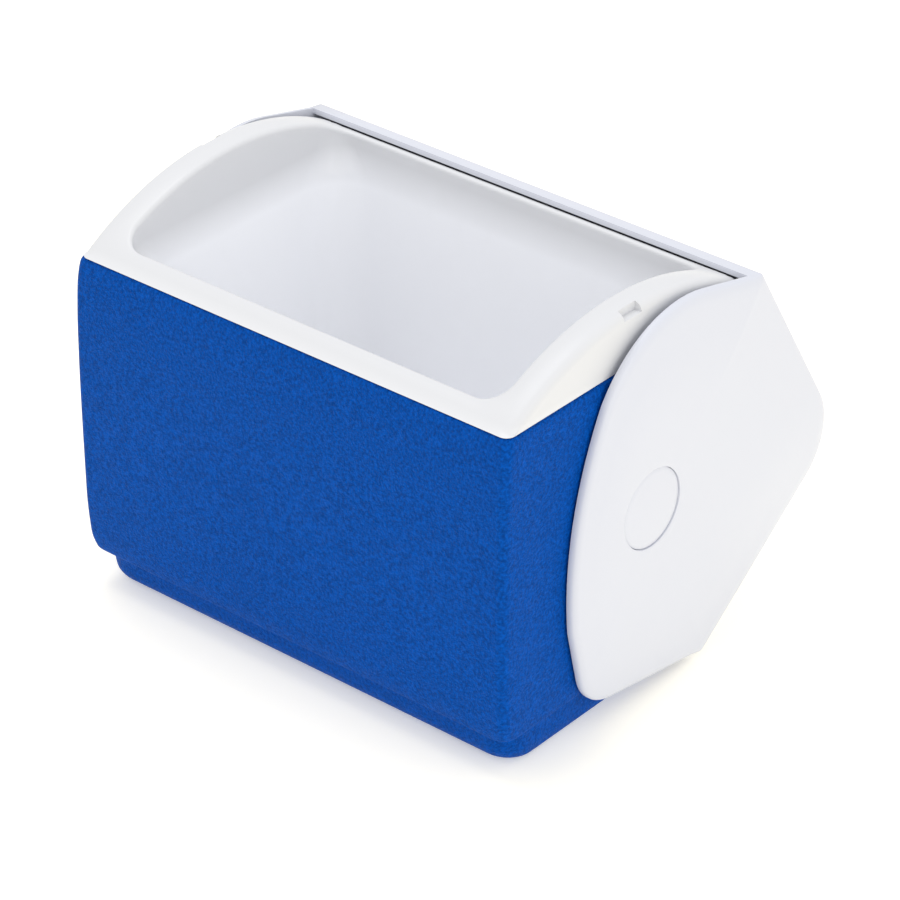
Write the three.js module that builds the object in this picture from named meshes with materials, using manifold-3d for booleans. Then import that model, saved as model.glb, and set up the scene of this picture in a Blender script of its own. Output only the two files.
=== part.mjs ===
// Small insulated cooler chest with a tent-shaped lid on two long side arms.
// The lid swings over the body about one cross axis, and a push button in its ridge
// frees two latch hooks from notches in the rim.
// Millimetres, +Z up. The origin is the centre of the underside, X runs along the
// length and the front is at -Y. The lid is shown swung open to the back.
import * as THREE from 'three';
import { mergeVertices } from 'three/addons/utils/BufferGeometryUtils.js';
import Module from 'manifold-3d';

const wasm = await Module();
wasm.setup();

// ---------- driving dimensions ----------
const gap = 0.3; // between pieces that touch
const seamZ = 191.5; // blue shell meets white rim
const seamHalfX = 137.5;
const seamHalfY = 92.5;
const seamCorner = 5;
const shellWall = 3;
const endBulge = 2.4; // the blue end walls stand this far outside the seam
const sideBulge = 5.1; // and the front and back walls this far
const skirtZ = 20; // ledge above the narrower base
const baseCorner = 15;
const reliefDistance = 113.4; // pivot axis to the sloping relief along the lower rear edge
const rimCrown = 30; // the rim's arched ends rise this far above the seam
const rimEdge = 0.3; // height of the rim's outer edge above the seam
const crestY = 3.5; // the crest of the arches lies this far behind the middle
const rimReach = 119.5; // no point of the rim is farther than this from the pivot axis
const mouthHalfX = 120.4;
const mouthHalfY = 79.6;
const mouthCorner = 13;
const tubFloorZ = 26;
const tubWall = 2.6;
const tubCorner = 26;
const notch = { depth: 4.4, halfWidth: 6.6, height: 4.6 };

const pivotZ = 116.5;
const openAngle = 101; // degrees back from closed
const armInnerX = 141.3;
const armEdgeX = 143.2;
const armCrownX = 152.5;
const roofPitch = 42.1; // degrees
const roofDistance = 125.8; // pivot axis to the roof's outer face
const roofWall = 2.2;
const ridgeRadius = 34;
const eaveHalfWidth = 102.8;
const eaveLip = 3.2; // thickness of the lip along the eaves
const eaveLipBottom = 67.7;
const armHalfWidth = 106.3; // at the arms' lower corners
const armBottom = -49;
const armBottomRadius = 204;
const armRearCorner = 28;
const armFrontCorner = 72;

const pinRadius = 8;
const shankRadius = 6;
const pinHeadRadius = 13;
const boreClearance = 0.4;
const capRadius = 21.2;
const capSeatX = 146;
const washerRadius = 17;

const linerRadius = 120.3; // inner face of the lid's inner panel, about the pivot
const linerThickness = 1.3;
const linerHalfAngle = 31;
const linerHalfX = 132.3;
const pocketHalfX = 58;
const pocketInner = 14.5;
const pocketFloor = 127;
const buttonHalfX = 16;
const buttonHalfY = 7;
const slideHalfY = 5;
const slideLow = 124;
const slideHigh = 130;
const wedgeTip = 5; // half width of the wedge's lower end
const wedgeRise = 10.5;
const hookInnerX = 140.4;
const hookOuterX = 143.4;
const hookLow = 101.6;
const hookRoom = 0.5; // around the hooks in the arms
const guideX = 102;
const lugX = 77;
const springLevel = 135.2;

// ---------- materials ----------
function paint(color, roughness, metalness = 0) {
  return new THREE.MeshStandardMaterial({ color, roughness, metalness });
}
const blue = paint(0x1652a6, 0.5);
const white = paint(0xf0f1f4, 0.35);
const foamYellow = paint(0xe8dcae, 0.9);
const nylon = paint(0xdedfe2, 0.4);
const steel = paint(0xa9adb2, 0.35, 1);

// ---------- shape helpers ----------
const radians = THREE.MathUtils.degToRad;

function roundedRectangle(halfX, halfY, radius, steps = 5) {
  const points = [];
  const corners = [[1, 1, 0], [-1, 1, 90], [-1, -1, 180], [1, -1, 270]];
  for (const [sx, sy, start] of corners) {
    for (let i = 0; i <= steps; i++) {
      const angle = radians(start + 90 * i / steps);
      const x = sx * (halfX - radius) + radius * Math.cos(angle);
      const y = sy * (halfY - radius) + radius * Math.sin(angle);
      points.push([x, y]);
    }
  }
  return points;
}

// Closed solid through equal rings of [x, y, z] points, which turn counter-clockwise
// about the direction in which the rings follow each other.
function loft(rings) {
  const count = rings[0].length;
  const index = [];
  for (let r = 0; r + 1 < rings.length; r++) {
    for (let i = 0; i < count; i++) {
      const a = r * count + i;
      const b = r * count + (i + 1) % count;
      index.push(a, b, b + count, a, b + count, a + count);
    }
  }
  const last = (rings.length - 1) * count;
  for (let i = 1; i + 1 < count; i++) {
    index.push(0, i + 1, i);
    index.push(last, last + i, last + i + 1);
  }
  const geometry = new THREE.BufferGeometry();
  geometry.setAttribute('position', new THREE.Float32BufferAttribute(rings.flat(2), 3));
  geometry.setIndex(index);
  return geometry;
}

// Levels are [z, half length, half depth, corner radius].
function levelLoft(levels) {
  return loft(levels.map(([z, halfX, halfY, radius]) =>
    roundedRectangle(halfX, halfY, radius).map(([x, y]) => [x, y, z])));
}

function grow(levels, by) {
  return levels.map(([z, halfX, halfY, radius]) => [z, halfX + by, halfY + by, radius + by]);
}

// Prism along X from an outline of [y, z] points.
function prismX(outline, fromX, toX) {
  const shape = new THREE.Shape(outline.map(([y, z]) => new THREE.Vector2(y, z)));
  const geometry = new THREE.ExtrudeGeometry(shape, { depth: toX - fromX, bevelEnabled: false });
  geometry.applyMatrix4(new THREE.Matrix4().set(0, 0, 1, fromX, 1, 0, 0, 0, 0, 1, 0, 0, 0, 0, 0, 1));
  return geometry;
}

// Prism along Y from an outline of [x, z] points.
function prismY(outline, halfY) {
  const shape = new THREE.Shape(outline.map(([x, z]) => new THREE.Vector2(x, z)));
  const geometry = new THREE.ExtrudeGeometry(shape, { depth: 2 * halfY, bevelEnabled: false });
  geometry.rotateX(Math.PI / 2);
  geometry.translate(0, halfY, 0);
  return geometry;
}

function box(fromX, toX, fromY, toY, fromZ, toZ) {
  const geometry = new THREE.BoxGeometry(toX - fromX, toY - fromY, toZ - fromZ);
  geometry.translate((fromX + toX) / 2, (fromY + toY) / 2, (fromZ + toZ) / 2);
  return geometry;
}

// Turned solid about the X axis from [radius, x] points that start and end on the axis
// or close on themselves.
function turnedX(profile, segments = 28) {
  const points = profile.map(([radius, x]) => new THREE.Vector2(radius, x));
  return new THREE.LatheGeometry(points, segments).rotateZ(-Math.PI / 2);
}

function cylinderX(radius, fromX, toX, segments = 28) {
  return turnedX([[0, fromX], [radius, fromX], [radius, toX], [0, toX]], segments);
}

function solid(geometry) {
  const plain = geometry.clone();
  plain.deleteAttribute('normal');
  plain.deleteAttribute('uv');
  const merged = mergeVertices(plain, 1e-4);
  const vertProperties = new Float32Array(merged.attributes.position.array);
  const triVerts = new Uint32Array(merged.index.array);
  return new wasm.Manifold(new wasm.Mesh({ numProp: 3, vertProperties, triVerts }));
}

function geometryOf(manifold) {
  const mesh = manifold.getMesh();
  const geometry = new THREE.BufferGeometry();
  geometry.setAttribute('position', new THREE.Float32BufferAttribute(mesh.vertProperties, 3));
  geometry.setIndex(Array.from(mesh.triVerts));
  geometry.computeVertexNormals();
  return geometry;
}

function cut(body, ...tools) {
  return tools.reduce((left, tool) => left.subtract(solid(tool)), body);
}

// Rounds the corners of a polygon whose points are [y, z, radius].
function filleted(points, steps = 6) {
  const result = [];
  points.forEach(([y, z, radius], i) => {
    if (!radius) {
      result.push([y, z]);
      return;
    }
    const here = new THREE.Vector2(y, z);
    const before = points[(i + points.length - 1) % points.length];
    const after = points[(i + 1) % points.length];
    const toBefore = new THREE.Vector2(before[0] - y, before[1] - z).normalize();
    const toAfter = new THREE.Vector2(after[0] - y, after[1] - z).normalize();
    const half = Math.acos(toBefore.dot(toAfter)) / 2;
    const middle = toBefore.clone().add(toAfter).normalize();
    const centre = here.clone().addScaledVector(middle, radius / Math.sin(half));
    const start = here.clone().addScaledVector(toBefore, radius / Math.tan(half)).sub(centre);
    const sweep = Math.PI - 2 * half;
    const turn = Math.sign(toBefore.cross(toAfter)) * -1;
    for (let k = 0; k <= steps; k++) {
      const arm = start.clone().rotateAround(new THREE.Vector2(), turn * sweep * k / steps);
      result.push([centre.x + arm.x, centre.y + arm.y]);
    }
  });
  return result;
}

// Everything beyond the plane that the rear slope of the open lid lies along.
function relief(distance) {
  const angle = radians(roofPitch + openAngle);
  const normal = new THREE.Vector2(Math.sin(angle), Math.cos(angle));
  const along = new THREE.Vector2(-normal.y, normal.x);
  const corners = [[distance, -200], [distance + 100, -200], [distance + 100, 200], [distance, 200]];
  const outline = corners.map(([out, side]) => [
    normal.x * out + along.x * side,
    pivotZ + normal.y * out + along.y * side,
  ]);
  return prismX(outline, -160, 160);
}

const group = new THREE.Group();

function place(parent, name, geometry, material) {
  const mesh = new THREE.Mesh(geometry, material);
  mesh.name = name;
  parent.add(mesh);
  return mesh;
}

function mirroredX(geometry) {
  return geometry.clone().rotateZ(Math.PI);
}

// A piece of each side: the right one as made, the left one turned half round Z.
function placePair(parent, name, geometry, material) {
  place(parent, `${name}_right`, geometry, material);
  place(parent, `${name}_left`, mirroredX(geometry), material);
}

// ---------- body ----------
const shellLevels = [
  [0, 131, 78.8, baseCorner - 3],
  [1.6, 133.4, 82.2, baseCorner - 1],
  [4.8, 135, 85.6, baseCorner],
  [9, 135.8, 87.8, baseCorner],
  [skirtZ - 0.8, 136.2, 89.6, baseCorner - 1],
  [skirtZ + 0.6, 138, 92.6, 9],
  [skirtZ + 2.4, 138.8, 94, 7],
  [skirtZ + 12, seamHalfX + endBulge - 0.3, seamHalfY + sideBulge - 1.6, 5],
  [skirtZ + 36, seamHalfX + endBulge, seamHalfY + sideBulge - 0.3, 5],
  [seamZ - 75, seamHalfX + endBulge, seamHalfY + sideBulge, 5],
  [seamZ - 40, seamHalfX + endBulge, seamHalfY + sideBulge - 0.5, 5],
  [seamZ - 16, seamHalfX + endBulge - 0.1, seamHalfY + sideBulge - 1.8, 5],
  [seamZ - 7, seamHalfX + 1.9, seamHalfY + 2.1, 5],
  [seamZ - 3, seamHalfX + 1.2, seamHalfY + 1.2, 5],
  [seamZ - gap, seamHalfX, seamHalfY, seamCorner],
];
const cavityLevels = [
  [shellWall, 128.4, 79.4, baseCorner - 2],
  [9, 131.6, 84, baseCorner],
  [skirtZ, 132.4, 85.6, baseCorner],
  [skirtZ + 6, 135, 91, 6],
  [skirtZ + 36, 136.4, 94, 4],
  [seamZ - 40, 136.4, 93.9, 4],
  [seamZ - 6, 135.4, 90.3, 4],
  [seamZ + 2, 134.4, 89.5, 3],
];
const tubOuterLevels = [
  [tubFloorZ - tubWall, 107, 67, 20],
  [tubFloorZ + 2, 113, 73, tubCorner + 1],
  [tubFloorZ + 10, 116.2, 76.2, tubCorner + 3],
  [seamZ - 12, 120.8, 80.4, tubCorner + 2],
  [seamZ + 3, 123, 82.4, 20],
];
const tubInnerLevels = [
  [tubFloorZ, 106, 66, 20],
  [tubFloorZ + 3, 110.6, 70.6, 24],
  [tubFloorZ + 10, 113.6, 73.6, tubCorner],
  [seamZ - 12, 118.2, 77.8, tubCorner],
  [seamZ + 4, 119.4, 78.8, 18],
  [seamZ + 9, mouthHalfX, mouthHalfY, mouthCorner],
  [seamZ + rimCrown + 12, mouthHalfX + 1, mouthHalfY + 1, mouthCorner],
];
const tubRelief = reliefDistance - shellWall - 4;
const plateBox = { fromX: 131.9, toX: 134.8, half: 20 };
const nutBox = { fromX: 126.2, toX: 131.6, radius: 10 };

function arcRadius(halfChord, rise) {
  return (halfChord * halfChord + rise * rise) / (2 * rise);
}

// Height of the rim's top: one long arc, held inside the path of the swinging lid.
function rimTop(y) {
  const radius = arcRadius(seamHalfY + crestY, rimCrown - rimEdge);
  const arc = seamZ + rimCrown - radius + Math.sqrt(radius ** 2 - (y - crestY) ** 2);
  return Math.min(arc, pivotZ + Math.sqrt(rimReach ** 2 - y ** 2));
}

// Section of the rim's vault over a flat bottom.
function vaultOutline(bottomZ) {
  const edge = seamHalfY + 1;
  const steps = 26;
  const outline = [[-edge, bottomZ], [edge, bottomZ]];
  for (let i = 0; i <= steps; i++) {
    const y = edge * (1 - 2 * i / steps);
    outline.push([y, rimTop(y)]);
  }
  return outline;
}

function makeOuterShell() {
  const bore = cylinderX(shankRadius + gap, -seamHalfX - 6, seamHalfX + 6);
  bore.translate(0, 0, pivotZ);
  const cavity = cut(solid(levelLoft(cavityLevels)), relief(reliefDistance - shellWall));
  return geometryOf(cut(solid(levelLoft(shellLevels)), relief(reliefDistance), bore).subtract(cavity));
}

function makeLiner() {
  const top = seamZ + rimCrown + 2;
  const rimLevels = [
    [seamZ, seamHalfX, seamHalfY, seamCorner],
    [seamZ + 20, seamHalfX, seamHalfY, seamCorner],
    [top - 5, seamHalfX - 1.2, seamHalfY, seamCorner],
    [top, seamHalfX - 4, seamHalfY, seamCorner],
  ];
  const flangeLevels = [
    [seamZ - 6, 133.6, 88.6, 3],
    [seamZ + 1, 133.6, 88.6, 3],
  ];
  const rim = solid(levelLoft(rimLevels)).intersect(solid(prismX(vaultOutline(seamZ - 5), -150, 150)));
  const outer = cut(solid(levelLoft(tubOuterLevels)), relief(tubRelief));
  const inner = cut(solid(levelLoft(tubInnerLevels)), relief(tubRelief - tubWall));
  const whole = rim.add(solid(levelLoft(flangeLevels))).add(outer);
  const notchFloor = seamZ + rimCrown - notch.height;
  const notchFrom = seamHalfX - notch.depth;
  const pocket = box(notchFrom, seamHalfX + 5, -notch.halfWidth, notch.halfWidth, notchFloor, top + 1);
  return geometryOf(cut(whole.subtract(inner), pocket, mirroredX(pocket)));
}

function makeBodyFoam() {
  const filled = [...grow(cavityLevels.slice(0, -2), -gap - 0.1)];
  filled[0][0] += gap;
  filled.push([seamZ - 6 - gap, 133.4, 88.4, 4]);
  const room = plateBox.half + gap;
  const seat = box(nutBox.fromX - 1, 150, -room, room, pivotZ - room, pivotZ + room);
  const tubLevels = grow(tubOuterLevels, gap + 0.1);
  tubLevels[0][0] -= gap;
  const tub = cut(solid(levelLoft(tubLevels)), relief(tubRelief + gap));
  const slant = relief(reliefDistance - shellWall - gap);
  const block = cut(solid(levelLoft(filled)), slant, seat, mirroredX(seat));
  return geometryOf(block.subtract(tub));
}

function makePivotPlate() {
  const { fromX, toX, half } = plateBox;
  const plate = solid(box(fromX, toX, -half, half, -half, half));
  return geometryOf(cut(plate, cylinderX(shankRadius + gap, fromX - 1, toX + 1)));
}

function makePivotNut() {
  const { fromX, toX, radius } = nutBox;
  const hexagon = solid(cylinderX(radius, fromX, toX, 6));
  return geometryOf(cut(hexagon, cylinderX(shankRadius + gap, fromX - 1, toX + 1)));
}

function makePivotPin() {
  const shoulder = seamHalfX + endBulge + gap;
  const head = capSeatX + gap;
  return turnedX([
    [0, nutBox.fromX], [shankRadius, nutBox.fromX], [shankRadius, shoulder], [pinRadius, shoulder],
    [pinRadius, head], [pinHeadRadius, head], [pinHeadRadius, head + 1.6], [pinHeadRadius - 1, head + 2.2],
    [0, head + 2.2],
  ]);
}

function makeWasher() {
  const inner = pinRadius + boreClearance;
  const near = seamHalfX + endBulge + gap;
  const far = armInnerX - gap;
  return turnedX([[inner, near], [washerRadius, near], [washerRadius, far], [inner, far], [inner, near]]);
}

place(group, 'outer_shell', makeOuterShell(), blue);
place(group, 'liner', makeLiner(), white);
place(group, 'body_foam', makeBodyFoam(), foamYellow);

const pivotFixed = new THREE.Group();
pivotFixed.position.z = pivotZ;
group.add(pivotFixed);
placePair(pivotFixed, 'pivot_plate', makePivotPlate(), steel);
placePair(pivotFixed, 'pivot_nut', makePivotNut(), steel);
placePair(pivotFixed, 'pivot_pin', makePivotPin(), nylon);
placePair(pivotFixed, 'pivot_washer', makeWasher(), nylon);

// ---------- lid, drawn closed with the pivot axis at its origin ----------
const slope = radians(roofPitch);

// Height above the pivot of a roof line at a given half width and distance from the pivot.
function roofHeight(halfWidth, distance) {
  return (distance - halfWidth * Math.sin(slope)) / Math.cos(slope);
}

function lidOutline() {
  const bottomCentre = armBottom + armBottomRadius;
  const bottomAt = (y) => bottomCentre - Math.sqrt(armBottomRadius ** 2 - y * y);
  const eaveZ = roofHeight(eaveHalfWidth, roofDistance);
  const side = (cornerRadius) => [
    [20, bottomAt(20)],
    [40, bottomAt(40)],
    [60, bottomAt(60)],
    [armHalfWidth, bottomAt(armHalfWidth), cornerRadius],
    [eaveHalfWidth - 0.4, eaveZ - 9],
    [eaveHalfWidth, eaveZ, 3],
  ];
  const rear = side(armRearCorner);
  const front = side(armFrontCorner).map(([y, z, radius]) => [-y, z, radius]).reverse();
  return filleted([[0, armBottom], ...rear, [0, roofHeight(0, roofDistance), ridgeRadius], ...front]);
}

// The outline is swept along X, with rolled edges and slightly domed outer faces on the arms.
function lidBlock() {
  const outline = lidOutline();
  const faces = [
    [armEdgeX, 1], [armEdgeX + 1.6, 0.985], [armEdgeX + 2.7, 0.955], [armEdgeX + 4.3, 0.85],
    [armCrownX - 0.8, 0.6], [armCrownX, 0.35],
  ];
  const sections = [...faces.map(([x, scale]) => [-x, scale]).reverse(), ...faces];
  return loft(sections.map(([x, scale]) => outline.map(([y, z]) => [x, y * scale, z * scale])));
}

// Everything below this line is open between the arms.
function tentInside(distance) {
  const lipInner = eaveHalfWidth - eaveLip;
  const roofEnd = roofHeight(lipInner, distance);
  const ridge = roofHeight(0, distance);
  const wide = 130;
  const deep = -80;
  return filleted([
    [-wide, deep], [wide, deep], [wide, eaveLipBottom], [lipInner, eaveLipBottom], [lipInner, roofEnd],
    [0, ridge, ridgeRadius - roofWall], [-lipInner, roofEnd], [-lipInner, eaveLipBottom],
    [-wide, eaveLipBottom],
  ]);
}

// Finger pocket beside the ridge, so that the ridge between two of them is the carrying handle.
function pocketOutline(margin) {
  const inner = pocketInner - margin;
  const floor = pocketFloor - margin;
  const outer = (roofDistance - floor * Math.cos(slope)) / Math.sin(slope);
  return [[inner, floor], [outer, floor], [outer, floor + 60], [inner, floor + 60]];
}

function pockets(margin) {
  const half = pocketHalfX + margin;
  const rear = prismX(pocketOutline(margin), -half, half);
  return [rear, mirroredX(rear)];
}

function makeLidShell() {
  const hollow = prismX(tentInside(roofDistance - roofWall), -armInnerX, armInnerX);
  const inside = cut(solid(hollow), ...pockets(roofWall));
  const bore = cylinderX(pinRadius + boreClearance, armInnerX - 2, armCrownX + 2);
  const seat = cylinderX(capRadius + boreClearance, capSeatX, armCrownX + 2);
  const room = 0.35;
  const openX = buttonHalfX + room;
  const openY = buttonHalfY + room;
  const opening = box(-openX, openX, -openY, openY, 150.5, 170);
  const side = slideHalfY + hookRoom;
  const recess = box(armInnerX - 1, hookOuterX + hookRoom, -side, side, hookLow - 1, slideHigh + hookRoom);
  const pairs = [bore, seat, recess];
  const tools = [...pockets(0), opening, ...pairs, ...pairs.map(mirroredX)];
  return geometryOf(cut(solid(lidBlock()).subtract(inside), ...tools));
}

function arcPoints(radius, from, to, steps) {
  const points = [];
  for (let i = 0; i <= steps; i++) {
    const angle = radians(from + (to - from) * i / steps);
    points.push([radius * Math.sin(angle), radius * Math.cos(angle)]);
  }
  return points;
}

function makeLidLiner() {
  const outer = arcPoints(linerRadius + linerThickness, linerHalfAngle, -linerHalfAngle, 16);
  const inner = arcPoints(linerRadius, -linerHalfAngle, linerHalfAngle, 16);
  return prismX([...outer, ...inner], -linerHalfX, linerHalfX);
}

function makeLidFoam() {
  const channel = 9.5;
  const shoulder = 22;
  const bottom = linerRadius + linerThickness + gap;
  const from = THREE.MathUtils.radToDeg(Math.asin(channel / bottom));
  const under = arcPoints(bottom, from, linerHalfAngle - 1, 10);
  const top = roofDistance - roofWall - gap - 0.1;
  const edge = under[under.length - 1][0];
  const high = roofHeight(shoulder, top);
  const outline = [...under, [edge, roofHeight(edge, top)], [shoulder, high], [channel, high]];
  const block = prismX(outline, -linerHalfX + 1, linerHalfX - 1);
  const half = pocketHalfX + roofWall + gap;
  const pocket = prismX(pocketOutline(roofWall + gap), -half, half);
  return geometryOf(cut(solid(block), pocket));
}

function makePivotCap() {
  const face = capSeatX + gap;
  return turnedX([
    [0, 149], [17.5, 149], [17.5, face], [capRadius, face], [capRadius, armCrownX - 1.6],
    [capRadius - 0.8, armCrownX - 1], [capRadius - 7, armCrownX - 0.3], [0, armCrownX],
  ]);
}

function makeButton() {
  const wedgeTop = slideLow + wedgeRise;
  const flangeLow = 146;
  const top = 156;
  const stem = box(-buttonHalfX, buttonHalfX, -buttonHalfY, buttonHalfY, wedgeTop - 0.5, top);
  const outX = buttonHalfX + 2;
  const outY = buttonHalfY + 1.2;
  const flange = box(-outX, outX, -outY, outY, flangeLow, flangeLow + 3);
  const wedge = prismY([
    [-wedgeTip, slideLow], [wedgeTip, slideLow],
    [wedgeTip + wedgeRise, wedgeTop], [-wedgeTip - wedgeRise, wedgeTop],
  ], slideHalfY);
  return geometryOf(solid(stem).add(solid(flange)).add(solid(wedge)));
}

// The slide is drawn at its outer stop, where the pressed button holds it.
function makeSlide() {
  const tip = wedgeTip + 0.5;
  const height = slideHigh - slideLow;
  const bar = prismY([
    [tip, slideLow], [hookInnerX, slideLow], [hookInnerX, hookLow + 1.5], [hookInnerX + 1, hookLow],
    [hookOuterX, hookLow], [hookOuterX, slideHigh], [tip + height, slideHigh],
  ], slideHalfY);
  const lug = box(lugX - 3, lugX, -slideHalfY, slideHalfY, slideHigh - 1, springLevel + 3.6);
  return geometryOf(solid(bar).add(solid(lug)));
}

// A bridge over the slide, standing on the lid's inner panel, that takes the spring's outer end.
function makeGuide() {
  const foot = linerRadius + linerThickness + gap;
  const wall = 2;
  const clear = 0.5;
  const side = slideHalfY + clear;
  const outline = [
    [-side - wall, foot], [-side, foot], [-side, slideHigh + clear], [side, slideHigh + clear],
    [side, foot], [side + wall, foot], [side + wall, springLevel + 4], [-side - wall, springLevel + 4],
  ];
  return prismX(outline, guideX, guideX + 8);
}

class SpringCurve extends THREE.Curve {
  constructor(radius, fromX, toX, turns) {
    super();
    Object.assign(this, { radius, fromX, toX, turns });
  }

  getPoint(t, target = new THREE.Vector3()) {
    const angle = 2 * Math.PI * this.turns * t;
    const x = this.fromX + (this.toX - this.fromX) * t;
    return target.set(x, this.radius * Math.cos(angle), springLevel + this.radius * Math.sin(angle));
  }
}

function makeSpring() {
  const wire = 0.45;
  const turns = 6;
  const section = new THREE.Shape();
  section.absarc(0, 0, wire, 0, 2 * Math.PI);
  const path = new SpringCurve(3, lugX + wire + gap, guideX - wire - gap, turns);
  const options = { steps: turns * 10, curveSegments: 3, extrudePath: path, bevelEnabled: false };
  return new THREE.ExtrudeGeometry(section, options);
}

const lid = new THREE.Group();
lid.position.z = pivotZ;
lid.rotation.x = -radians(openAngle);
group.add(lid);
place(lid, 'lid_shell', makeLidShell(), white);
place(lid, 'lid_inner_panel', makeLidLiner(), white);
const lidFoam = makeLidFoam();
place(lid, 'lid_foam_rear', lidFoam, foamYellow);
place(lid, 'lid_foam_front', mirroredX(lidFoam), foamYellow);
placePair(lid, 'pivot_cap', makePivotCap(), white);
place(lid, 'push_button', makeButton(), white);
placePair(lid, 'latch_slide', makeSlide(), nylon);
placePair(lid, 'slide_guide', makeGuide(), nylon);
placePair(lid, 'latch_spring', makeSpring(), steel);

export default group;
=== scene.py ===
"""Looks for the swing-lid cooler chest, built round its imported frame. Metres, +Z up."""
import math

import bmesh
import bpy
from mathutils import Matrix, Vector


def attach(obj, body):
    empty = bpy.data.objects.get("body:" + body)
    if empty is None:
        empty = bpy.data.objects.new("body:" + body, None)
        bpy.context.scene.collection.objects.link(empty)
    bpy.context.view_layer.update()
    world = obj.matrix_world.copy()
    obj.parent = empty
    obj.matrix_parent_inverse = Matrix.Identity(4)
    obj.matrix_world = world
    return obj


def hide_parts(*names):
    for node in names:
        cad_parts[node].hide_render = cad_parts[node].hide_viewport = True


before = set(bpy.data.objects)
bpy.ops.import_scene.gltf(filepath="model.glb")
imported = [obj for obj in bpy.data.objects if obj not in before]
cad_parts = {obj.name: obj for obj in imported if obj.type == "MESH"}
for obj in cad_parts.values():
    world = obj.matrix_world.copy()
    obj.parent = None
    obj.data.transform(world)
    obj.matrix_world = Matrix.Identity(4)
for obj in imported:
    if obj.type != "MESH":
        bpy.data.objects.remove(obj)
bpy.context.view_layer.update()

MM = 0.001
# The frame's own dimensions, in millimetres.
SEAM_Z = 191.5
SEAM = (137.5, 92.5)
RIM_EDGE = 0.3
RIM_CROWN = 30.0
CREST_Y = 3.5  # the arches' crest lies this far behind the middle
RIM_REACH = 119.5  # no point of the rim is farther than this from the pivot axis
MOUTH = (120.4, 79.6)
MOUTH_CORNER = 13.0
NOTCH_X = 133.1
NOTCH_HALF_Y = 6.6
NOTCH_DEPTH = 4.6
SKIRT_Z = 20.0
PIVOT_Z = 116.5
OPEN_ANGLE = math.radians(101)
SLOPE = math.radians(42.1)
RELIEF = 113.4  # pivot axis to the sloping plane along the shell's lower rear edge
SHELL_RELIEF = RELIEF - 3  # the same distance to the inside of the shell
TUB_OUTER_RELIEF = RELIEF - 7
TUB_INNER_RELIEF = RELIEF - 9.6
ARM_INNER_X = 141.3
ROOF_DISTANCE = 125.8
ROOF_WALL = 2.2
RIDGE_RADIUS = 34.0
EAVE_HALF = 102.8
EAVE_LIP = 3.2
EAVE_LIP_BOTTOM = 67.7
ARM_HALF = 106.3
ARM_BOTTOM = -49.0
ARM_BOTTOM_RADIUS = 204.0
ARM_REAR_CORNER = 28.0
ARM_FRONT_CORNER = 72.0
CAP_RADIUS = 21.2
CAP_SEAT_X = 146.0
POCKET_HALF_X = 58.0
POCKET_INNER = 14.5
POCKET_FLOOR = 127.0
BUTTON_HALF = (16.0, 7.0)
BUTTON_ROOM = 0.35
LID_TO_BODY = Matrix.Translation((0, 0, PIVOT_Z * MM)) @ Matrix.Rotation(-OPEN_ANGLE, 4, "X")


# ---------- outlines and lofts, in millimetres ----------
def smooth_rows(rows, count):
    """Rows of numbers resampled along a monotone cubic in their first number."""
    keys = [row[0] for row in rows]
    steps = [b - a for a, b in zip(keys, keys[1:])]
    columns = []
    for column in list(zip(*rows))[1:]:
        slopes = [(b - a) / h for a, b, h in zip(column, column[1:], steps)]
        tangents = [slopes[0]]
        for before, after in zip(slopes, slopes[1:]):
            same_way = before * after > 0
            tangents.append(2 * before * after / (before + after) if same_way else 0.0)
        tangents.append(slopes[-1])
        columns.append((column, tangents))
    result = []
    for i, h in enumerate(steps):
        for k in range(count if i + 1 < len(steps) else count + 1):
            t = k / count
            row = [keys[i] + h * t]
            for column, tangents in columns:
                row.append(
                    (2 * t**3 - 3 * t**2 + 1) * column[i]
                    + (t**3 - 2 * t**2 + t) * h * tangents[i]
                    + (3 * t**2 - 2 * t**3) * column[i + 1]
                    + (t**3 - t**2) * h * tangents[i + 1]
                )
            result.append(row)
    return result


def rounded_ring(half_x, half_y, radius, corner=10, along_x=24, along_y=40):
    """Points of a rounded rectangle, the same number on each side for every size."""
    points = []
    for sx, sy, start in ((1, 1, 0), (-1, 1, 90), (-1, -1, 180), (1, -1, 270)):
        centre = (sx * (half_x - radius), sy * (half_y - radius))
        for i in range(corner + 1):
            angle = math.radians(start + 90 * i / corner)
            points.append((centre[0] + radius * math.cos(angle), centre[1] + radius * math.sin(angle)))
        end = points[-1]
        lengthwise = start in (0, 180)
        run = 2 * (half_x - radius) if lengthwise else 2 * (half_y - radius)
        count = along_x if lengthwise else along_y
        step = {0: (-1, 0), 90: (0, -1), 180: (1, 0), 270: (0, 1)}[start]
        for i in range(1, count):
            points.append((end[0] + step[0] * run * i / count, end[1] + step[1] * run * i / count))
    return points


def filleted(points, steps=14):
    """A polygon of (a, b, radius) points with its corners rounded."""
    result = []
    for i, (a, b, radius) in enumerate(points):
        here = Vector((a, b))
        if not radius:
            result.append((a, b))
            continue
        before = (Vector(points[i - 1][:2]) - here).normalized()
        after = (Vector(points[(i + 1) % len(points)][:2]) - here).normalized()
        half = math.acos(max(-1, min(1, before.dot(after)))) / 2
        centre = here + (before + after).normalized() * radius / math.sin(half)
        start = here + before * radius / math.tan(half) - centre
        end = here + after * radius / math.tan(half) - centre
        sweep = start.angle_signed(end)
        for k in range(steps + 1):
            arm = start.copy()
            arm.rotate(Matrix.Rotation(-sweep * k / steps, 2))
            result.append(tuple(centre + arm))
    return result


def loft_faces(rings, count):
    faces = []
    for r in range(rings - 1):
        for i in range(count):
            a, b = r * count + i, r * count + (i + 1) % count
            faces.append((a, b, b + count, a + count))
    faces.append(tuple(reversed(range(count))))
    faces.append(tuple(range((rings - 1) * count, rings * count)))
    return faces


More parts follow.
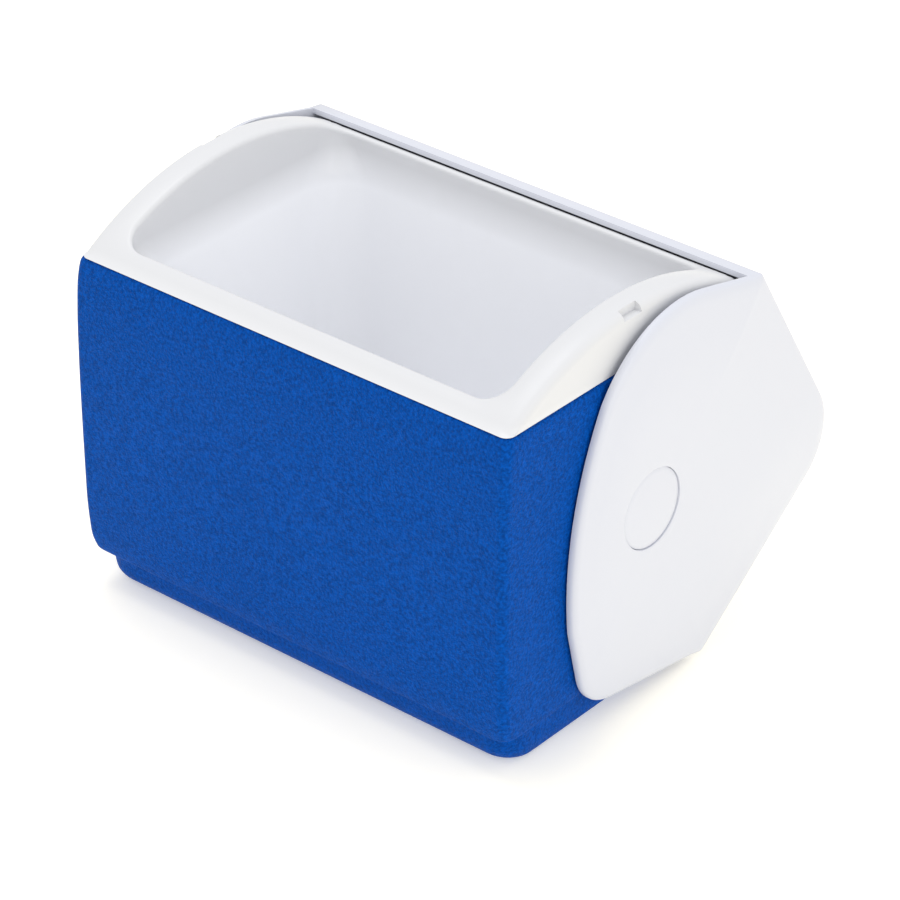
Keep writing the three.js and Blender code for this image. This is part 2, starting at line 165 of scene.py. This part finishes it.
def new_object(name, vertices, faces, matrix=Matrix()):
    mesh = bpy.data.meshes.new(name)
    mesh.from_pydata([matrix @ (Vector(v) * MM) for v in vertices], [], faces)
    mesh.update()
    piece = bpy.data.objects.new(name, mesh)
    bpy.context.scene.collection.objects.link(piece)
    edit(piece, lambda bm: bmesh.ops.recalc_face_normals(bm, faces=bm.faces))
    return piece


def edit(piece, change):
    bm = bmesh.new()
    bm.from_mesh(piece.data)
    change(bm)
    bm.to_mesh(piece.data)
    bm.free()


def loft(name, rings, matrix=Matrix()):
    vertices = [point for ring in rings for point in ring]
    return new_object(name, vertices, loft_faces(len(rings), len(rings[0])), matrix)


def prism_x(name, outline, from_x, to_x, matrix=Matrix()):
    return loft(name, [[(x, a, b) for a, b in outline] for x in (from_x, to_x)], matrix)


def block(name, low, high, matrix=Matrix()):
    outline = ((low[1], low[2]), (high[1], low[2]), (high[1], high[2]), (low[1], high[2]))
    return prism_x(name, outline, low[0], high[0], matrix)


def turned_x(name, profile, matrix=Matrix(), segments=96):
    """A closed turned solid about X from (radius, x) points; radius 0 ends close it."""
    rings = []
    for radius, x in profile:
        radius = max(radius, 0.01)
        ring = []
        for i in range(segments):
            angle = 2 * math.pi * i / segments
            ring.append((x, radius * math.cos(angle), radius * math.sin(angle)))
        rings.append(ring)
    return loft(name, rings, matrix)


def apply_modifiers(piece):
    bpy.context.view_layer.update()
    shape = piece.evaluated_get(bpy.context.evaluated_depsgraph_get())
    mesh = bpy.data.meshes.new_from_object(shape)
    piece.modifiers.clear()
    old = piece.data
    piece.data = mesh
    bpy.data.meshes.remove(old)


def combine(piece, tools, operation="DIFFERENCE"):
    """Cuts the tools from the piece, or joins them to it, and removes them."""
    for tool in tools:
        modifier = piece.modifiers.new("cut", "BOOLEAN")
        modifier.operation = operation
        modifier.solver = "EXACT"
        modifier.object = tool
        apply_modifiers(piece)
        bpy.data.objects.remove(tool)


def soften(piece, width, segments=3, angle=35):
    """Rounds every edge sharper than the angle."""
    edit(piece, lambda bm: bmesh.ops.dissolve_degenerate(bm, edges=bm.edges, dist=2e-6))
    modifier = piece.modifiers.new("round", "BEVEL")
    modifier.width = width * MM
    modifier.segments = segments
    modifier.limit_method = "ANGLE"
    modifier.angle_limit = math.radians(angle)
    modifier.harden_normals = False
    apply_modifiers(piece)


def shade(piece, angle=32):
    for polygon in piece.data.polygons:
        polygon.use_smooth = True
    piece.data.set_sharp_from_angle(angle=math.radians(angle))


def finish_piece(piece, body, slot, material, *nodes, angle=32):
    shade(piece, angle)
    piece.data.materials.clear()
    piece.data.materials.append(material)
    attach(piece, body)
    if nodes:
        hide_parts(*nodes)
    return piece


# ---------- materials ----------
def add(tree, kind, inputs=None, **settings):
    node = tree.nodes.new(kind)
    for name, value in settings.items():
        setattr(node, name, value)
    for name, value in (inputs or {}).items():
        if isinstance(value, bpy.types.NodeSocket):
            tree.links.new(value, node.inputs[name])
        else:
            node.inputs[name].default_value = value
    return node


def map_range(tree, value, source, target):
    node = add(tree, "ShaderNodeMapRange", {"Value": value})
    node.inputs["From Min"].default_value, node.inputs["From Max"].default_value = source
    node.inputs["To Min"].default_value, node.inputs["To Max"].default_value = target
    return node.outputs["Result"]


def product(tree, colour, factor):
    return add(tree, "ShaderNodeVectorMath", {0: colour, 1: factor}, operation="MULTIPLY").outputs["Vector"]


def plastic(name, color, color_change, roughness, rough_change, specular, bumps, patch=9.0, speck=0.0):
    """Moulded plastic. patch is the scale of its broad changes, in patches per metre, and
    bumps are (kind, scale per metre, strength, depth in mm)."""
    material = bpy.data.materials.new(name)
    material.use_nodes = True
    tree = material.node_tree
    shader = tree.nodes["Principled BSDF"]
    place = add(tree, "ShaderNodeTexCoord").outputs["Object"]
    cloud = add(tree, "ShaderNodeTexNoise", {"Vector": place, "Scale": patch, "Detail": 4.0})
    dark = [c * (1 - color_change) for c in color] + [1]
    light = [min(1, c * (1 + color_change)) for c in color] + [1]
    tint = add(tree, "ShaderNodeMix", {0: cloud.outputs["Fac"]}, data_type="RGBA")
    tint.inputs[6].default_value = dark
    tint.inputs[7].default_value = light
    colour = tint.outputs[2]
    if speck:
        dots = add(tree, "ShaderNodeTexNoise",
                   {"Vector": place, "Scale": 620.0, "Detail": 4.0, "Roughness": 0.62})
        level = map_range(tree, dots.outputs["Fac"], (0.36, 0.64), (1 - speck, 1 + speck))
        colour = product(tree, colour, level)
    tree.links.new(colour, shader.inputs["Base Color"])
    fine = add(tree, "ShaderNodeTexNoise", {"Vector": place, "Scale": patch * 14, "Detail": 3.0})
    rough_range = (roughness - rough_change, roughness + rough_change)
    spread = map_range(tree, fine.outputs["Fac"], (0.3, 0.7), rough_range)
    tree.links.new(spread, shader.inputs["Roughness"])
    shader.inputs["Specular IOR Level"].default_value = specular
    add_bumps(tree, shader, place, bumps)
    return material


def add_bumps(tree, shader, place, bumps):
    normal = None
    for kind, scale, strength, depth in bumps:
        if kind == "cells":
            grain = add(tree, "ShaderNodeTexVoronoi", {"Vector": place, "Scale": scale, "Smoothness": 0.6},
                        feature="SMOOTH_F1")
            height = grain.outputs["Distance"]
        else:
            grain = add(tree, "ShaderNodeTexNoise", {"Vector": place, "Scale": scale, "Detail": 5.0})
            height = grain.outputs["Fac"]
        bump = add(tree, "ShaderNodeBump", {"Height": height, "Strength": strength, "Distance": depth * MM})
        if normal:
            tree.links.new(normal, bump.inputs["Normal"])
        normal = bump.outputs["Normal"]
    tree.links.new(normal, shader.inputs["Normal"])


def paint_light_below(material, height, amount):
    """Paints light into the colour below a height: the colour is made lighter there, standing in for light
    that passes through a thin pale wall and lights the tub's inside.
    """
    tree = material.node_tree
    shader = tree.nodes["Principled BSDF"]
    colour = shader.inputs["Base Color"].links[0].from_socket
    place = add(tree, "ShaderNodeTexCoord").outputs["Object"]
    split = add(tree, "ShaderNodeSeparateXYZ", {"Vector": place})
    level = map_range(tree, split.outputs["Z"], (height, height - 0.02), (1.0, amount))
    tree.links.new(product(tree, colour, level), shader.inputs["Base Color"])


blue = plastic("blue_grained_plastic", (0.0006, 0.069, 0.368), 0.05, 0.50, 0.05, 0.035,
               [("noise", 700, 1.0, 0.6), ("cells", 1300, 1.0, 0.5)], speck=0.30)
white = plastic("white_moulded_plastic", (0.650, 0.667, 0.735), 0.008, 0.36, 0.04, 0.3,
                [("noise", 40, 0.08, 0.4), ("noise", 1500, 0.08, 0.02)])
rim_white_with_painted_light = plastic("white_rim_plastic_painted_light", (0.688, 0.694, 0.715), 0.006, 0.32, 0.04, 0.25,
                    [("noise", 50, 0.04, 0.2), ("noise", 1500, 0.06, 0.02)])
# Painted light: the liner's colour is 1.38 times lighter below 4 mm over the seam, so the tub's inside
# looks as brightly lit as the rim.
paint_light_below(rim_white_with_painted_light, (SEAM_Z + 4) * MM, 1.38)
panel_white = plastic("white_sheet_plastic", (0.84, 0.85, 0.86), 0.01, 0.38, 0.04, 0.35,
                      [("noise", 60, 0.12, 0.4)])
foam = plastic("pale_yellow_foam", (0.74, 0.63, 0.34), 0.10, 0.85, 0.06, 0.2,
               [("cells", 900, 0.6, 0.3), ("noise", 120, 0.4, 0.5)], patch=30)
nylon = plastic("off_white_nylon", (0.70, 0.71, 0.72), 0.015, 0.42, 0.05, 0.4,
                [("noise", 800, 0.08, 0.05)], patch=40)
steel = plastic("zinc_plated_steel", (0.50, 0.51, 0.54), 0.08, 0.34, 0.08, 0.5,
                [("noise", 1500, 0.10, 0.03)], patch=60)
steel.node_tree.nodes["Principled BSDF"].inputs["Metallic"].default_value = 1.0


# ---------- body ----------
# Rows are (z, half length, half depth, corner radius): the shell's outside, then its inside.
SHELL_LEVELS = (
    (0, 131, 78.8, 12), (1.6, 133.4, 82.2, 14), (4.8, 135, 85.6, 15), (9, 135.8, 87.8, 15),
    (SKIRT_Z - 0.8, 136.2, 89.6, 14), (SKIRT_Z + 0.6, 138, 92.6, 9), (SKIRT_Z + 2.4, 138.8, 94, 7),
    (SKIRT_Z + 12, 139.6, 96, 5.6), (SKIRT_Z + 36, 139.9, 97.3, 5.2), (SEAM_Z - 75, 139.9, 97.6, 5),
    (SEAM_Z - 40, 139.9, 97.1, 5), (SEAM_Z - 16, 139.8, 95.8, 5), (SEAM_Z - 7, 139.4, 94.6, 5),
    (SEAM_Z - 2.6, 138.8, 93.7, 5), (SEAM_Z - 1.0, 138.1, 93.1, 5), (SEAM_Z - 0.4, 137.0, 92.0, 4.6),
)
SHELL_CAVITY = (
    (SEAM_Z - 0.4, 134.4, 89.4, 3.4), (SEAM_Z - 6, 135.4, 90.3, 4), (SEAM_Z - 40, 136.4, 93.9, 4),
    (SKIRT_Z + 36, 136.4, 94, 4), (SKIRT_Z + 6, 135, 91, 6), (SKIRT_Z, 132.4, 85.6, 15), (9, 131.6, 84, 15),
    (3, 128.4, 79.4, 13), (3, 60, 30, 10),
)


def relief_side(y, z):
    """How far a point lies beyond the sloping plane along the lower rear edge."""
    angle = SLOPE + OPEN_ANGLE
    return y * math.sin(angle) + (z - PIVOT_Z) * math.cos(angle)


def bisect_relief(piece, distance):
    angle = SLOPE + OPEN_ANGLE
    normal = Vector((0, math.sin(angle), math.cos(angle)))
    point = normal * distance * MM + Vector((0, 0, PIVOT_Z * MM))

    def change(bm):
        parts = bm.verts[:] + bm.edges[:] + bm.faces[:]
        bmesh.ops.bisect_plane(bm, geom=parts, dist=1e-6, plane_co=point, plane_no=normal, clear_outer=True)
        rim = [edge for edge in bm.edges if edge.is_boundary]
        bmesh.ops.contextual_create(bm, geom=rim)
        bmesh.ops.recalc_face_normals(bm, faces=bm.faces)

    edit(piece, change)


def level_ring(z, half_x, half_y, radius):
    return [(x, y, z) for x, y in rounded_ring(half_x, half_y, radius)]


def clamped(ring, distance):
    """The ring with every point that lies beyond the relief moved back onto it."""
    angle = SLOPE + OPEN_ANGLE
    result = []
    for x, y, z in ring:
        beyond = max(0.0, relief_side(y, z) - distance)
        result.append((x, y - beyond * math.sin(angle), z - beyond * math.cos(angle)))
    return result


def make_shell():
    rings = [level_ring(*row) for row in smooth_rows(SHELL_LEVELS, 4)]
    for row in SHELL_CAVITY:
        rings.append(clamped(level_ring(*row), SHELL_RELIEF))
    piece = loft("body_shell", rings)
    bisect_relief(piece, RELIEF)
    soften(piece, 1.4, 4, 30)
    return finish_piece(piece, "base", "shell_blue", blue, "outer_shell")


def vault(y):
    """Height of the rim's top: one long arc, held inside the path of the swinging lid."""
    rise = RIM_CROWN - RIM_EDGE
    half = SEAM[1] + CREST_Y
    radius = (half**2 + rise**2) / (2 * rise)
    y = max(-SEAM[1], min(SEAM[1], y))
    arc = SEAM_Z + RIM_CROWN - radius + math.sqrt(radius**2 - (y - CREST_Y) ** 2)
    return min(arc, PIVOT_Z + math.sqrt(RIM_REACH**2 - y * y))


TUB_OUTSIDE = (
    (23.4, 60, 30, 16), (23.4, 107, 67, 20), (28, 113, 73, 27), (36, 116.2, 76.2, 29),
    (60, 117.1, 77, 29), (120, 119.2, 79, 28.5), (SEAM_Z - 12, 120.8, 80.4, 28),
    (SEAM_Z - 6.4, 122, 81.6, 22),
)
FLANGE = (
    (SEAM_Z - 6, 133.6, 88.6, 3), (SEAM_Z, 133.6, 88.6, 3), (SEAM_Z, 136.9, 91.9, 4.4),
)
# These rows start with minus the height, because smooth_rows takes rising keys.
TUB_INSIDE = (
    (-(SEAM_Z - 1), 119.5, 78.8, 18), (-(SEAM_Z - 12), 118.6, 78, 24), (-120, 116.7, 76.5, 26),
    (-60, 114.6, 74.6, 26), (-38, 113.6, 73.6, 26), (-32, 112.4, 72.4, 25), (-28.5, 110.2, 70.2, 24),
    (-26.6, 107, 67, 21), (-26, 102, 62, 18),
)
RIM_LOW = SEAM_Z + 0.4
MOUTH_LIP = 3.0


def edge_round(x):
    """Radius of the rim's outer edge: small along the sides, larger on the arched ends."""
    side_round, end_round = 1.6, 5.0
    into_end = min(1, max(0, (abs(x) - SEAM[0] + 14) / 12))
    return side_round + (end_round - side_round) * into_end


def rim_side_rings(outer):
    rings = [[(x, y, SEAM_Z + 0.2) for x, y in outer]]
    for share in (0.25, 0.5, 0.8, 1.0):
        ring = []
        for x, y in outer:
            top = max(RIM_LOW, vault(y) - edge_round(x))
            ring.append((x, y, RIM_LOW + (top - RIM_LOW) * share))
        rings.append(ring)
    for degrees in (15, 30, 45, 60, 75, 90):
        angle = math.radians(degrees)
        ring = []
        for x, y in outer:
            reach = edge_round(x)
            inset = reach * (1 - math.cos(angle))
            drop = min(reach * (1 - math.sin(angle)), max(0, vault(y) - RIM_LOW))
            new_x = x * (SEAM[0] - inset) / SEAM[0]
            new_y = y * (SEAM[1] - inset * 0.6) / SEAM[1]
            ring.append((new_x, new_y, max(RIM_LOW, vault(new_y) - drop)))
        rings.append(ring)
    return rings


def mouth_ring(wider):
    return rounded_ring(MOUTH[0] + wider, MOUTH[1] + wider, MOUTH_CORNER + wider)


def rim_top_rings(edge):
    """Rings from the rounded outer edge over the slightly crowned rim and into the mouth."""
    rings = []
    for share in (0.25, 0.5, 0.75, 1.0):
        ring = []
        for (x0, y0, _), (x1, y1) in zip(edge, mouth_ring(MOUTH_LIP)):
            y = y0 + (y1 - y0) * share
            crown = 0.35 * math.sin(math.pi * share)
            ring.append((x0 + (x1 - x0) * share, y, vault(y) + crown - RIM_EDGE * share))
        rings.append(ring)
    for degrees in (18, 36, 54, 72, 90):
        angle = math.radians(degrees)
        drop = RIM_EDGE + MOUTH_LIP * (1 - math.cos(angle))
        ring = mouth_ring(MOUTH_LIP - MOUTH_LIP * math.sin(angle))
        rings.append([(x, y, vault(y) - drop) for x, y in ring])
    rings.append([(x, y, vault(y) - 6) for x, y in mouth_ring(0)])
    return rings


def rim_rings():
    """Rings from the tub's hidden outside, over the rim and down to the tub floor."""
    rings = [clamped(level_ring(*row), TUB_OUTER_RELIEF) for row in TUB_OUTSIDE]
    rings += [level_ring(*row) for row in FLANGE]
    rings += rim_side_rings(rounded_ring(*SEAM, 5))
    rings += rim_top_rings(rings[-1])
    for minus_z, *size in smooth_rows(TUB_INSIDE, 3):
        rings.append(clamped(level_ring(-minus_z, *size), TUB_INNER_RELIEF))
    rings.append(level_ring(26, 40, 20, 10))
    return rings


def make_liner():
    piece = loft("tub_liner", rim_rings())
    low, high = SEAM_Z + RIM_CROWN - NOTCH_DEPTH, SEAM_Z + 60
    combine(piece, [
        block("tool", (NOTCH_X, -NOTCH_HALF_Y, low), (150, NOTCH_HALF_Y, high)),
        block("tool", (-150, -NOTCH_HALF_Y, low), (-NOTCH_X, NOTCH_HALF_Y, high)),
    ])
    return finish_piece(piece, "base", "shell_white", rim_white_with_painted_light, "liner", angle=38)


# ---------- lid, drawn closed about its pivot and turned into place ----------
def roof_height(half_width, distance):
    return (distance - half_width * math.sin(SLOPE)) / math.cos(SLOPE)


def lid_outline():
    centre = ARM_BOTTOM + ARM_BOTTOM_RADIUS

    def bottom(y):
        return centre - math.sqrt(ARM_BOTTOM_RADIUS**2 - y * y)

    eave_z = roof_height(EAVE_HALF, ROOF_DISTANCE)

    def side(corner):
        points = [(y, bottom(y), 0) for y in (8, 16, 24, 32, 40, 48, 54, 60)]
        points.append((ARM_HALF, bottom(ARM_HALF), corner))
        return points + [(EAVE_HALF - 0.4, eave_z - 9, 0), (EAVE_HALF, eave_z, 3)]

    front = [(-y, z, radius) for y, z, radius in reversed(side(ARM_FRONT_CORNER))]
    peak = (0, roof_height(0, ROOF_DISTANCE), RIDGE_RADIUS)
    return filleted([(0, ARM_BOTTOM, 0), *side(ARM_REAR_CORNER), peak, *front])


# Rows are (parameter, x, scale of the outline) over an arm's domed outer face.
ARM_FACE = (
    (0.0, 143.2, 1.0), (0.35, 144.4, 0.9935), (0.7, 145.5, 0.977), (1.1, 146.4, 0.95), (1.6, 147.1, 0.91),
    (2.4, 148.0, 0.85), (4.4, 150.2, 0.7), (6.5, 151.7, 0.5), (8.5, 152.3, 0.25), (10, 152.45, 0.02),
)


def lid_block():
    outline = lid_outline()
    faces = [(x, scale) for _, x, scale in smooth_rows(ARM_FACE, 4)]
    span = [(x, 1.0) for x in (-100, -50, 0, 50, 100)]
    sections = [(-x, scale) for x, scale in reversed(faces)] + span + faces
    rings = [[(x, y * scale, z * scale) for y, z in outline] for x, scale in sections]
    return loft("lid_shell_piece", rings, LID_TO_BODY)


def tent_inside(distance):
    """Outline of all that is open between the arms and under the roof."""
    lip_inner = EAVE_HALF - EAVE_LIP
    roof_end = roof_height(lip_inner, distance)
    ridge = (0, roof_height(0, distance), RIDGE_RADIUS - ROOF_WALL)
    return filleted([
        (-130, -80, 0), (130, -80, 0), (130, EAVE_LIP_BOTTOM, 0), (lip_inner, EAVE_LIP_BOTTOM, 0),
        (lip_inner, roof_end, 0), ridge, (-lip_inner, roof_end, 0),
        (-lip_inner, EAVE_LIP_BOTTOM, 0), (-130, EAVE_LIP_BOTTOM, 0),
    ])


def pocket(side, margin):
    """Cutter for the finger pocket on one side of the ridge. It runs 10 mm past the roof's face."""
    inner, floor, half = POCKET_INNER - margin, POCKET_FLOOR - margin, POCKET_HALF_X + margin
    outer = (ROOF_DISTANCE - floor * math.cos(SLOPE)) / math.sin(SLOPE) + 10
    outline = ((inner, floor), (outer, floor), (outer, floor + 60), (inner, floor + 60))
    return prism_x("tool", [(side * y, z) for y, z in outline], -half, half, LID_TO_BODY)


def make_lid():
    piece = lid_block()
    hollow = tent_inside(ROOF_DISTANCE - ROOF_WALL)
    inside = prism_x("tool", hollow, -ARM_INNER_X, ARM_INNER_X, LID_TO_BODY)
    combine(inside, [pocket(1, ROOF_WALL), pocket(-1, ROOF_WALL)])
    half_x, half_y = (half + BUTTON_ROOM for half in BUTTON_HALF)
    tools = [inside, pocket(1, 0), pocket(-1, 0),
             block("tool", (-half_x, -half_y, 150.5), (half_x, half_y, 170), LID_TO_BODY)]
    for sign in (1, -1):
        seat = [(0, sign * (CAP_SEAT_X - 0.01)), (CAP_RADIUS + 0.4, sign * CAP_SEAT_X),
                (CAP_RADIUS + 0.4, sign * 160), (0, sign * 160)]
        tools.append(turned_x("tool", seat, LID_TO_BODY))
        near, far = sorted((sign * (ARM_INNER_X - 1), sign * 143.9))
        tools.append(block("tool", (near, -5.5, 100.6), (far, 5.5, 130.5), LID_TO_BODY))
    combine(piece, tools)
    soften(piece, 0.7, 3, 38)
    return finish_piece(piece, "lid", "shell_white", white, "lid_shell", angle=34)


# Rows are (radius, x).
CAP_PROFILE = (
    (0, 149), (17.5, 149), (17.5, 146.35), (CAP_RADIUS - 0.3, 146.35), (CAP_RADIUS, 146.7),
    (CAP_RADIUS + 0.25, 150.9), (CAP_RADIUS + 0.05, 151.5), (CAP_RADIUS - 0.9, 151.85),
    (CAP_RADIUS - 3, 152.1), (10, 152.35), (0, 152.45),
)


def make_cap(side, sign):
    profile = [(radius, sign * x) for radius, x in CAP_PROFILE]
    piece = turned_x("pivot_cap_piece_" + side, profile, LID_TO_BODY)
    return finish_piece(piece, "lid", "shell_white", white, "pivot_cap_" + side, angle=50)


def make_button():
    half_x, half_y = BUTTON_HALF
    rings = []
    for z, inset in ((134, 0), (154.2, 0), (155.1, 0.25), (155.7, 0.8), (156, 1.8), (155.9, 4)):
        radius = min(3, half_y - inset - 0.1)
        ring = rounded_ring(half_x - inset, half_y - inset, radius, 8, 6, 4)
        rings.append([(x, y, z) for x, y in ring])
    flange = rounded_ring(half_x + 2, half_y + 1.2, 2, 8, 6, 4)
    plate = loft("push_button_flange", [[(x, y, z) for x, y in flange] for z in (146, 149)], LID_TO_BODY)
    wedge = [(-15.5, 134.5), (-5, 124), (5, 124), (15.5, 134.5)]
    stem = loft("push_button_wedge", [[(x, y, z) for x, z in wedge] for y in (-5, 5)], LID_TO_BODY)
    piece = loft("push_button_piece", rings, LID_TO_BODY)
    combine(piece, [plate, stem], "UNION")
    return finish_piece(piece, "button", "shell_white", white, "push_button", angle=40)


def dress_cad_nodes():
    finishes = {
        "body_foam": foam, "lid_foam_rear": foam, "lid_foam_front": foam, "lid_inner_panel": panel_white,
    }
    for side in ("right", "left"):
        for name in ("pivot_plate_", "pivot_nut_", "latch_spring_"):
            finishes[name + side] = steel
        for name in ("pivot_pin_", "pivot_washer_", "latch_slide_", "slide_guide_"):
            finishes[name + side] = nylon
    for name, material in finishes.items():
        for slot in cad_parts[name].material_slots:
            slot.material = material


# ---------- stage ----------
def make_stage():
    corners = [(x, y, -0.6) for x, y in ((-9000, -9000), (9000, -9000), (9000, 9000), (-9000, 9000))]
    floor = new_object("floor", corners, [(0, 1, 2, 3)])
    material = bpy.data.materials.new("pale_floor")
    material.use_nodes = True
    shader = material.node_tree.nodes["Principled BSDF"]
    shader.inputs["Base Color"].default_value = (0.92, 0.88, 0.76, 1)
    shader.inputs["Roughness"].default_value = 0.9
    shader.inputs["Specular IOR Level"].default_value = 0.1
    shader.inputs["Emission Color"].default_value = (1, 1, 1, 1)
    shader.inputs["Emission Strength"].default_value = 0.34
    floor.data.materials.append(material)


def area_light(name, place, target, size, power):
    light = bpy.data.lights.new(name, "AREA")
    light.size = size
    light.energy = power
    lamp = bpy.data.objects.new(name, light)
    lamp.location = place
    lamp.rotation_mode = "QUATERNION"
    lamp.rotation_quaternion = (Vector(target) - Vector(place)).to_track_quat("-Z", "Y")
    bpy.context.scene.collection.objects.link(lamp)


def make_lights():
    world = bpy.data.worlds.new("studio")
    world.use_nodes = True
    background = world.node_tree.nodes["Background"]
    background.inputs["Color"].default_value = (1, 1, 1, 1)
    background.inputs["Strength"].default_value = 0.90
    bpy.context.scene.world = world
    area_light("overhead", (-0.5, 0.1, 2.2), (0, 0, 0.1), 1.2, 14)
    area_light("right_fill", (2.0, -0.6, 0.9), (0, 0, 0.12), 1.4, 8)


def make_camera():
    azimuth, elevation = math.radians(40.13), math.radians(31.35)
    ahead = Vector((-math.sin(azimuth) * math.cos(elevation), math.cos(azimuth) * math.cos(elevation),
                    -math.sin(elevation)))
    data = bpy.data.cameras.new("camera")
    data.lens = 160
    data.sensor_width = 36
    camera = bpy.data.objects.new("camera", data)
    camera.location = (1.12746, -1.30803, 1.14169)
    camera.rotation_mode = "QUATERNION"
    camera.rotation_quaternion = ahead.to_track_quat("-Z", "Y")
    bpy.context.scene.collection.objects.link(camera)
    bpy.context.scene.camera = camera
    bpy.context.scene.view_settings.view_transform = "Standard"


make_camera()
make_lights()
make_stage()
make_shell()
make_liner()
make_lid()
for side, sign in (("right", 1), ("left", -1)):
    make_cap(side, sign)
make_button()
dress_cad_nodes()
